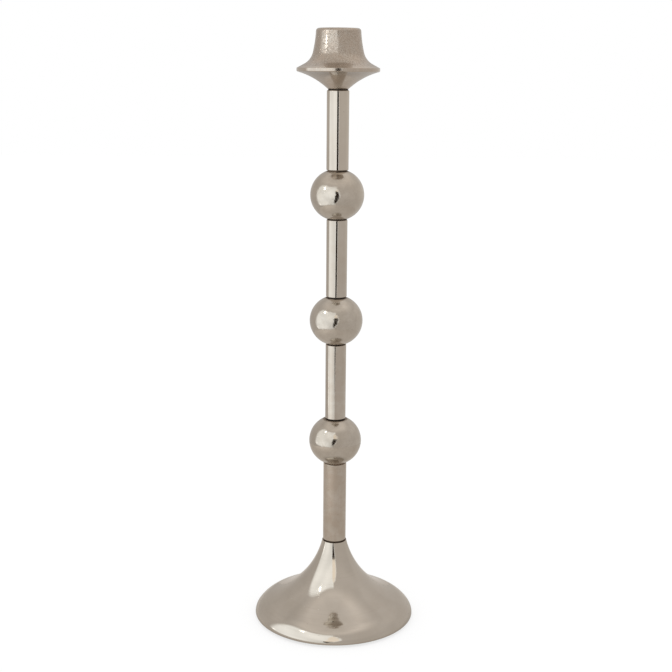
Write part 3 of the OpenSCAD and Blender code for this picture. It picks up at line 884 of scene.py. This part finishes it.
# Through the opening the metal sees a dark room, and far off, above 22 degrees, its lit ceiling.
room_r = 4.0
room_eye = 0.15
room_glow = np.array([0.030, 0.021, 0.013])
room_ceiling = np.array([1.25, 1.17, 1.05])
turn = np.radians(np.linspace(-50, 50, 41))[None, :]
rise_angle = np.radians(np.linspace(-50, 70, 241))[:, None]
room_points = np.stack([room_r * np.sin(turn) + 0 * rise_angle, -room_r * np.cos(turn) + 0 * rise_angle,
                        room_eye + room_r * np.tan(rise_angle) + 0 * turn], axis=-1)
room_tone = rise(np.degrees(rise_angle), 21.5, 23.5) + 0 * turn
room = room_glow + room_tone[..., None] * room_ceiling
lit_sheet("dark_room", room_points, 241, 41, room)

# The tent's own ceiling is the same cloth, bulging upwards, brighter at its edge than its middle.
bulge = 0.03
across = np.linspace(0, 1, 33)[None, :]
turn = np.linspace(0, 2 * np.pi, 97)[:, None]
ceiling_points = np.stack([tent_r * across * np.sin(turn), -tent_r * across * np.cos(turn),
                           tent_top + bulge * (1 - across**2) + 0 * turn], axis=-1)
edge_tone = 1.30 * (1.0 + 0.05 * np.cos(turn - np.radians(60)) - 0.08 * rise(np.sin(-turn), 0.1, 0.9))
edge_tone = edge_tone * (1.0 + 0.13 * rise(np.abs(np.sin(turn)), 0.6, 0.95))
ceiling = cloth * (edge_tone * across**2 + 1.17 * (1 - across**2))[..., None]
lit_sheet("tent_ceiling", ceiling_points, 97, 33, ceiling)

# What the metal sees of the floor is grey cloth, a sheet whose glow holds painted light: a painted shadow
# round the foot and a painted pool of light towards the bright panel; the camera sees a clean pale floor.
cloth_z, floor_z = -0.0006, -0.0012
floor_cloth = np.array([1.0, 0.935, 0.865])
across = np.linspace(0, 1, 65)[None, :]
turn = np.linspace(0, 2 * np.pi, 97)[:, None]
cloth_floor = np.stack([tent_r * across * np.sin(turn), -tent_r * across * np.cos(turn),
                        cloth_z + 0 * across * turn], axis=-1)
# Painted light: the floor cloth is a little brighter towards -X, the bright panel's side.
floor_light_and_shadow = 0.664 * (1 - 0.06 * np.sin(turn) * across)
# Painted shadow: the cloth is a fifth darker within 45 mm of the stem and clears by 75 mm, round the foot's
# edge.
floor_light_and_shadow = floor_light_and_shadow * (0.80 + 0.20 * rise(across * tent_r, 0.045, 0.075))
floor_azimuth = np.degrees((turn + np.pi) % (2 * np.pi) - np.pi)
# Painted light: a pool of light on the outer cloth at the left front, below the bright panel.
floor_light_and_shadow = floor_light_and_shadow * (1 + 0.26 * rise(across, 0.3, 0.8) * np.exp(-((floor_azimuth + 50) / 40) ** 2))
floor_glow = floor_light_and_shadow[..., None] * floor_cloth
lit_sheet("tent_floor", cloth_floor, 97, 65, floor_glow)

floor_half = 4.0
mesh = bpy.data.meshes.new("floor")
floor_corners = [(-floor_half, -floor_half, floor_z), (floor_half, -floor_half, floor_z),
                 (floor_half, floor_half, floor_z), (-floor_half, floor_half, floor_z)]
mesh.from_pydata(floor_corners, [], [(0, 1, 2, 3)])
floor = bpy.data.objects.new("floor", mesh)
bpy.context.scene.collection.objects.link(floor)
pale = bpy.data.materials.new("pale_floor")
pale.use_nodes = True
tree = pale.node_tree
shader = tree.nodes["Principled BSDF"]
shader.inputs["Base Color"].default_value = (0.30, 0.30, 0.30, 1)
shader.inputs["Roughness"].default_value = 1.0
shader.inputs["Specular IOR Level"].default_value = 0.0
shader.inputs["Emission Color"].default_value = (1, 1, 1, 1)
shader.inputs["Emission Strength"].default_value = 0.72
clear = add(tree, "ShaderNodeBsdfTransparent")
one_sided = add(tree, "ShaderNodeMixShader")
out = tree.nodes["Material Output"]
tree.links.new(add(tree, "ShaderNodeNewGeometry").outputs["Backfacing"], one_sided.inputs[0])
tree.links.new(shader.outputs[0], one_sided.inputs[1])
tree.links.new(clear.outputs[0], one_sided.inputs[2])
tree.links.new(one_sided.outputs[0], out.inputs["Surface"])
mesh.materials.append(pale)
floor.visible_glossy = False

world = bpy.data.worlds.new("studio")
bpy.context.scene.world = world
world.use_nodes = True
tree = world.node_tree
backdrop = tree.nodes["Background"]
backdrop.inputs["Color"].default_value = (1, 1, 1, 1)
backdrop.inputs["Strength"].default_value = 1.0
world.cycles_visibility.glossy = False

camera_data = bpy.data.cameras.new("camera")
camera_data.sensor_width = 36.0
camera_data.lens = 64.29
camera_data.clip_start = 0.01
camera_data.clip_end = 20.0
camera = bpy.data.objects.new("camera", camera_data)
bpy.context.scene.collection.objects.link(camera)
stand = Vector((0, -0.711, 0.3375))
aim = Vector((0, 0, 0.1794))
tilt = math.radians(0.5)
camera.matrix_world = (
    Matrix.Translation(stand) @ (aim - stand).to_track_quat("-Z", "Y").to_matrix().to_4x4()
    @ Matrix.Rotation(tilt, 4, "Z")
)
bpy.context.scene.camera = camera
bpy.context.scene.view_settings.view_transform = "Standard"
